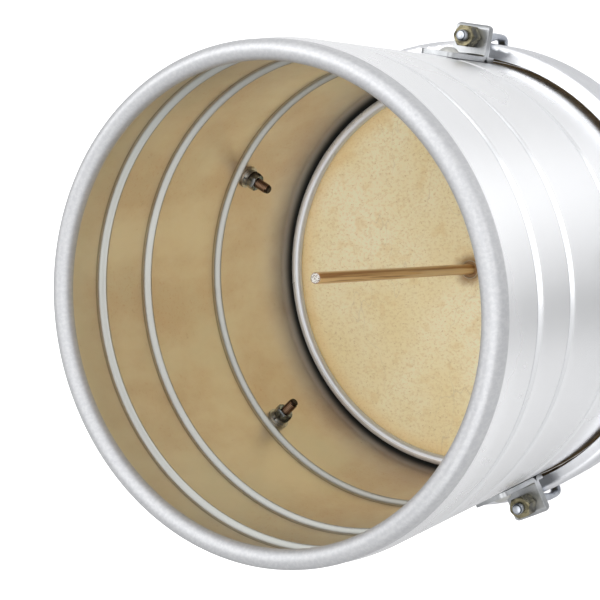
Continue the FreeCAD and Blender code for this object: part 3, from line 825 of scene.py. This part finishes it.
# %% Split cane
def cane():
    material, tree, shader = new_material("split_cane", Roughness=0.5)
    place = add_node(tree, "ShaderNodeAttribute", attribute_name="along").outputs["Vector"]
    height = add_node(tree, "ShaderNodeSeparateXYZ", {0: place}).outputs[2]
    fibres = noise(tree, stretched(tree, place, (1, 1, 0.02)), 900.0, 3.0, 0.6)
    bands = noise(tree, stretched(tree, place, (1, 1, 0.012)), 380.0, 2.0)
    tone = mix_colours(tree, smooth_step(tree, bands, 0.40, 0.60),
                       (0.40, 0.19, 0.06), (0.74, 0.50, 0.23))
    bundles = calculate(tree, "MULTIPLY", smooth_step(tree, fibres, 0.50, 0.64), 0.8)
    tone = mix_colours(tree, bundles, tone, (0.30, 0.125, 0.04))
    pale = smooth_step(tree, noise(tree, stretched(tree, place, (1, 1, 0.015)), 620.0, 2.0),
                       0.56, 0.66)
    tone = mix_colours(tree, calculate(tree, "MULTIPLY", pale, 0.7), tone, (0.84, 0.66, 0.40))
    end = smooth_step(tree, height, (STICK_LENGTH - 0.30) * MM, (STICK_LENGTH - 0.12) * MM)
    holes = noise(tree, stretched(tree, place, (1, 1, 0.1)), 2300.0, 1.5)
    cut = mix_colours(tree, smooth_step(tree, holes, 0.42, 0.52),
                      (0.12, 0.075, 0.045), (0.58, 0.57, 0.53))
    across = add_node(tree, "ShaderNodeVectorMath", {0: stretched(tree, place, (1, 1, 0))},
                      operation="LENGTH").outputs[1]
    cut = mix_colours(tree, smooth_step(tree, across, 0.0019, 0.0023), cut, (0.20, 0.12, 0.07))
    tree.links.new(mix_colours(tree, end, tone, cut), shader.inputs["Base Color"])
    tree.links.new(bump(tree, fibres, 0.00015, 0.8), shader.inputs["Normal"])
    return material


dress(stick, cane(), "rubbing_stick", ("stick",))

# %% [markdown]
# Bolts and hooks carry real threads, and a bump would look flat where they stand out
# against the wall. One tooth of the outline is carried up a helix by the screw modifier.
# The parts are made at the first lug and turned on to the other four.

# %% Screw thread
THREAD_PITCH = 0.8
THREAD_DEPTH = 0.42
ROD_RADIUS = 2.5
LUG_ANGLES = {number: 72.0 * (number - 1) for number in range(1, 6)}


def helix_thread(name, radius, length, steps=20):
    """A screw thread up +Z from the origin, its teeth reaching the given radius."""
    piece = start_point(name)
    root = Vector((radius - THREAD_DEPTH, 0, 0)) * MM
    bpy.ops.transform.translate(value=root)
    for side in (1, -1):
        move = Vector((side * THREAD_DEPTH, 0, THREAD_PITCH / 2)) * MM
        bpy.ops.mesh.extrude_region_move(TRANSFORM_OT_translate={"value": move})
    bpy.ops.object.mode_set(mode="OBJECT")
    screw = piece.modifiers.new("helix", "SCREW")
    screw.screw_offset = THREAD_PITCH * MM
    screw.iterations = int(length / THREAD_PITCH)
    screw.steps = steps
    screw.render_steps = steps
    screw.use_merge_vertices = True
    screw.merge_threshold = 0.002 * MM
    bpy.ops.object.modifier_apply(modifier="helix")
    bpy.ops.object.mode_set(mode="EDIT")
    bpy.ops.mesh.select_all(action="SELECT")
    bpy.ops.mesh.normals_make_consistent(inside=False)
    bpy.ops.object.mode_set(mode="OBJECT")
    return piece


def join(name, pieces):
    bpy.ops.object.select_all(action="DESELECT")
    for piece in pieces:
        piece.select_set(True)
    bpy.context.view_layer.objects.active = pieces[0]
    if len(pieces) > 1:
        bpy.ops.object.join()
    pieces[0].name = name
    pieces[0].data.name = name
    return pieces[0]


def at_lug(piece, degrees):
    piece.data.transform(Matrix.Rotation(math.radians(degrees), 4, "Z"))
    return piece


# %% [markdown]
# Each bracket is held by a round-headed bolt, whose oily end stands inside the shell. The
# shank and the dome are one outline on the lathe. Where a point lies on the thread, from
# root to crest, is stored, so the finish can paint the roots dark as shade between the teeth.

# %% Bracket bolts
FOOT_OUTER = SHELL_RADIUS + 2.2
BOLT_HEIGHT = 63.0
BOLT_RADIUS = 2.45
BOLT_SEAT = FOOT_OUTER + 0.02
BOLT_LENGTH = BOLT_SEAT - 88.0
BOLT_HEAD_RADIUS = 4.6
BOLT_HEAD_HEIGHT = 2.4


def bracket_bolt(number):
    """A round-headed bolt: its head outside, its threaded end inside the shell."""
    dome = (BOLT_HEAD_RADIUS ** 2 + BOLT_HEAD_HEIGHT ** 2) / (2 * BOLT_HEAD_HEIGHT)
    reach = math.degrees(math.asin(BOLT_HEAD_RADIUS / dome))
    centre = (0, dome - BOLT_HEAD_HEIGHT)
    outline = arc(centre, dome, -90, -90 + reach, 10)
    root = BOLT_RADIUS - THREAD_DEPTH
    outline += [(BOLT_RADIUS, 0), (BOLT_RADIUS, 6.0), (root, 6.4), (root, BOLT_LENGTH - 0.35),
                (root - 0.35, BOLT_LENGTH), (0, BOLT_LENGTH)]
    shank = lathe("bolt_shank", outline, 32)
    thread = helix_thread("bolt_thread", BOLT_RADIUS, BOLT_LENGTH - 7.0)
    thread.data.transform(Matrix.Translation((0, 0, 6.2 * MM)))
    bolt = join("bracket_bolt_%d" % number, [shank, thread])
    crests = [(v.co.xy.length / MM - root) / THREAD_DEPTH for v in bolt.data.vertices]
    bolt.data.attributes.new("crest", "FLOAT", "POINT").data.foreach_set("value", crests)
    lay = Matrix.Rotation(math.radians(-90), 4, "Y")
    bolt.data.transform(Matrix.Translation(Vector((BOLT_SEAT, 0, BOLT_HEIGHT)) * MM) @ lay)
    return at_lug(bolt, LUG_ANGLES[number])


bolts = [bracket_bolt(number) for number in LUG_ANGLES]
print("bracket bolts made:", len(bolts))

# %% [markdown]
# A tension hook is one bent rod: threaded where its nut sits, forged flat where it bows
# over the hoop, and turned in below it. A bevelled curve is as thick along its whole
# length, so an oval is swept along the line in mesh code, with its own width at each point.

# %% Tension hooks
HOOK_AXIS = 113.4
HOOK_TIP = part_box("hook_1")[1].z / MM
HOOK_BOW = 115.3
HOOK_LEG = 6.6
HOOK_CORNERS = ((HOOK_AXIS, HOOK_TIP), (HOOK_AXIS, 27.0), (HOOK_BOW, 18.0), (HOOK_BOW, HOOK_LEG),
                (107.4, HOOK_LEG))
HOOK_BENDS = (12.0, 12.0, 4.5)
HOOK_THREAD_END = 36.5
HOOK_ROUND_END = 34.0
HOOK_FLAT_START = 25.0
FLAT_SIZES = (1.65, 2.95)


def hook_line(steps=12):
    """The middle of the rod: straight runs joined by tangent arcs, in its own plane."""
    corners = [Vector(c) for c in HOOK_CORNERS]
    line = [corners[0]]
    for before, corner, after, bend in zip(corners, corners[1:], corners[2:], HOOK_BENDS):
        back = (before - corner).normalized()
        ahead = (after - corner).normalized()
        half = back.angle(ahead) / 2
        middle = (back + ahead).normalized()
        centre = corner + middle * (bend / math.sin(half))
        first = corner + back * (bend / math.tan(half)) - centre
        last = corner + ahead * (bend / math.tan(half)) - centre
        turn = first.angle_signed(last)
        line += [centre + Matrix.Rotation(-turn * i / steps, 2) @ first
                 for i in range(steps + 1)]
    return line + [corners[-1]]


def oval_rod(name, line, sizes, sides=24):
    """Sweeps an oval along a line in the XZ plane, with its own half-sizes at each point."""
    vertices = []
    for i, place in enumerate(line):
        along = (line[min(i + 1, len(line) - 1)] - line[max(i - 1, 0)]).normalized()
        side = Vector((along.y, -along.x))
        thick, wide = sizes[i]
        for j in range(sides):
            turn = math.tau * j / sides
            spot = place + side * thick * math.cos(turn)
            vertices.append(Vector((spot.x, wide * math.sin(turn), spot.y)) * MM)
    faces = [tuple(range(sides)), tuple(range(len(vertices) - sides, len(vertices)))]
    for i in range(len(line) - 1):
        for j in range(sides):
            here, beside = i * sides + j, i * sides + (j + 1) % sides
            faces.append((here, beside, beside + sides, here + sides))
    mesh = bpy.data.meshes.new(name)
    mesh.from_pydata(vertices, [], faces)
    piece = bpy.data.objects.new(name, mesh)
    bpy.context.collection.objects.link(piece)
    bpy.ops.object.select_all(action="DESELECT")
    bpy.context.view_layer.objects.active = piece
    piece.select_set(True)
    bpy.ops.object.mode_set(mode="EDIT")
    bpy.ops.mesh.select_all(action="SELECT")
    bpy.ops.mesh.normals_make_consistent(inside=False)
    bpy.ops.object.mode_set(mode="OBJECT")
    bpy.ops.object.shade_smooth_by_angle(angle=math.radians(50))
    return piece


def hook_sizes(line):
    """Round and turned down to the thread's root at the top, then forged flat in the bow."""
    root = ROD_RADIUS - THREAD_DEPTH
    sizes = []
    for place in line:
        if place.y > HOOK_THREAD_END - 0.1:
            sizes.append((root, root))
            continue
        share = (HOOK_ROUND_END - place.y) / (HOOK_ROUND_END - HOOK_FLAT_START)
        share = min(max(share, 0.0), 1.0)
        leg = min(max((HOOK_BOW - place.x) / 3.0, 0.0), 1.0) if place.y < 12 else 0.0
        wide = ROD_RADIUS + (FLAT_SIZES[1] - ROD_RADIUS) * share * (1 - leg) - 0.05 * leg
        sizes.append((ROD_RADIUS + (FLAT_SIZES[0] - ROD_RADIUS) * share, wide))
    sizes[0] = (root - 0.4, root - 0.4)
    sizes[-1] = tuple(0.8 * size for size in sizes[-1])
    return sizes


def hook(number):
    """A rod with a threaded upper end, forged flat where it bows over the hoop."""
    bent = hook_line()
    end = HOOK_THREAD_END
    line = [Vector((HOOK_AXIS, height)) for height in
            (HOOK_TIP - 0.02, HOOK_TIP - 0.4, end, end - 0.5, HOOK_ROUND_END, 30.0)]
    line += bent[1:-1] + [bent[-1] + Vector((0.45, 0)), bent[-1] + Vector((0.02, 0))]
    rod = oval_rod("hook_rod", line, hook_sizes(line))
    thread = helix_thread("hook_thread", ROD_RADIUS, HOOK_TIP - end - 0.5)
    thread.data.transform(Matrix.Translation(Vector((HOOK_AXIS, 0, end - 0.2)) * MM))
    whole = join("tension_hook_%d" % number, [rod, thread])
    crests = []
    for vertex in whole.data.vertices:
        away = math.hypot(vertex.co.x / MM - HOOK_AXIS, vertex.co.y / MM)
        threaded = end - 0.6 < vertex.co.z / MM < HOOK_TIP - 0.2
        crest = (away - ROD_RADIUS + THREAD_DEPTH) / THREAD_DEPTH
        crests.append(crest if threaded else 1.0)
    whole.data.attributes.new("crest", "FLOAT", "POINT").data.foreach_set("value", crests)
    return at_lug(whole, LUG_ANGLES[number])


# %% [markdown]
# Plated steel is never one grey: the plating clouds, the worn edges shine and the bends
# catch the light. The brackets, nuts, washers and the tension hoop keep the solids' own
# mesh, which a bevel would have to cut anew, so the bevel node rounds their sharp edges in
# the shading, by a few tenths of a millimetre.

# %% Plated steel
def plated_steel(name, pale, deep, roughness, edge=0.35, cloud_scale=70.0, threaded=False):
    """Clouded plating with rounded, brighter edges and fine dark specks."""
    material, tree, shader = new_material(name, Metallic=1.0)
    place = add_node(tree, "ShaderNodeTexCoord").outputs["Object"]
    clouds = noise(tree, place, cloud_scale, 4.0, 0.6)
    grain = noise(tree, place, 1100.0, 3.0, 0.6)
    tone = mix_colours(tree, smooth_step(tree, clouds, 0.35, 0.65), deep, pale)
    specks = calculate(tree, "MULTIPLY", smooth_step(tree, grain, 0.60, 0.72), 0.35)
    tone = mix_colours(tree, specks, tone, tuple(0.45 * value for value in deep))
    if threaded:
        crest = add_node(tree, "ShaderNodeAttribute", attribute_name="crest").outputs["Fac"]
        # Painted shade: the thread roots are near-black
        tone = mix_colours(tree, smooth_step(tree, crest, 0.1, 0.7), (0.02, 0.025, 0.035), tone)
    tree.links.new(tone, shader.inputs["Base Color"])
    tree.links.new(calculate(tree, "MULTIPLY_ADD", clouds, 0.2, roughness),
                   shader.inputs["Roughness"])
    rounded = add_node(tree, "ShaderNodeBevel", {"Radius": edge * MM}, samples=4)
    tree.links.new(bump(tree, grain, 0.00003, 0.5, rounded.outputs["Normal"]),
                   shader.inputs["Normal"])
    return material


def coat_nodes(material, names):
    for name in names:
        nodes[name].data.materials.clear()
        nodes[name].data.materials.append(material)


hook_finish = plated_steel("hook_steel", (0.60, 0.63, 0.68), (0.42, 0.45, 0.50), 0.26, 0.1,
                           threaded=True)

# %% [markdown]
# The bolts were oiled and have browned inside the shell, while their heads stayed bright
# outside. They are one piece for all five, in one material that changes at the wall.

# %% Bolt steel
def bolt_finish():
    """Brown, oily thread inside the shell and a plated head outside it."""
    material, tree, shader = new_material("bolt_steel", Metallic=0.9)
    place, _, radius = object_place(tree)
    outside = smooth_step(tree, radius, 0.1030, 0.1036)
    clouds = noise(tree, place, 420.0, 4.0, 0.65)
    crest = add_node(tree, "ShaderNodeAttribute", attribute_name="crest").outputs["Fac"]
    brown = mix_colours(tree, clouds, (0.16, 0.085, 0.045), (0.46, 0.30, 0.20))
    # Painted shade: the thread roots are near-black
    brown = mix_colours(tree, smooth_step(tree, crest, 0.1, 0.8), (0.02, 0.012, 0.008), brown)
    plated = mix_colours(tree, clouds, (0.42, 0.42, 0.40), (0.62, 0.62, 0.60))
    tree.links.new(mix_colours(tree, outside, brown, plated), shader.inputs["Base Color"])
    tree.links.new(calculate(tree, "MULTIPLY_ADD", clouds, 0.25, 0.22),
                   shader.inputs["Roughness"])
    return material


dress(join("bracket_bolts_turned", bolts), bolt_finish(), "drum",
      ("bracket_bolts",))
for number in LUG_ANGLES:
    dress(hook(number), hook_finish, "tension_ring", ("hook_%d" % number,))
print("tension hooks made:", len(LUG_ANGLES))

# %% [markdown]
# The solids that stay as they are get their coats here. The tension nuts are yellow zinc, clouded
# towards a near-black tone that is partly painted shade, for the dark they reflect. The nuts
# inside the shell are blued and oily, the hoop is the palest, and the washers are dull.

# %% Coats of the solids
coat_nodes(plated_steel("bracket_steel", (0.44, 0.45, 0.46), (0.30, 0.31, 0.32), 0.22),
           ["bracket_%d" % i for i in LUG_ANGLES])
# The near-black deep tone of the yellow zinc is partly painted shade
coat_nodes(plated_steel("yellow_zinc", (0.27, 0.24, 0.15), (0.05, 0.045, 0.03), 0.16,
                        0.3, 160.0),
           ["tension_nut_%d" % i for i in LUG_ANGLES])
coat_nodes(plated_steel("hoop_steel", (0.74, 0.75, 0.775), (0.69, 0.70, 0.725), 0.22, 0.5),
           ["counterhoop"])
coat_nodes(plated_steel("washer_steel", (0.56, 0.56, 0.54), (0.40, 0.40, 0.38), 0.25, 0.2),
           ["inner_washers", "lock_washers"])
coat_nodes(plated_steel("dark_nut_steel", (0.38, 0.44, 0.50), (0.03, 0.035, 0.04), 0.10,
                        0.3, 190.0),
           ["inner_nuts"])
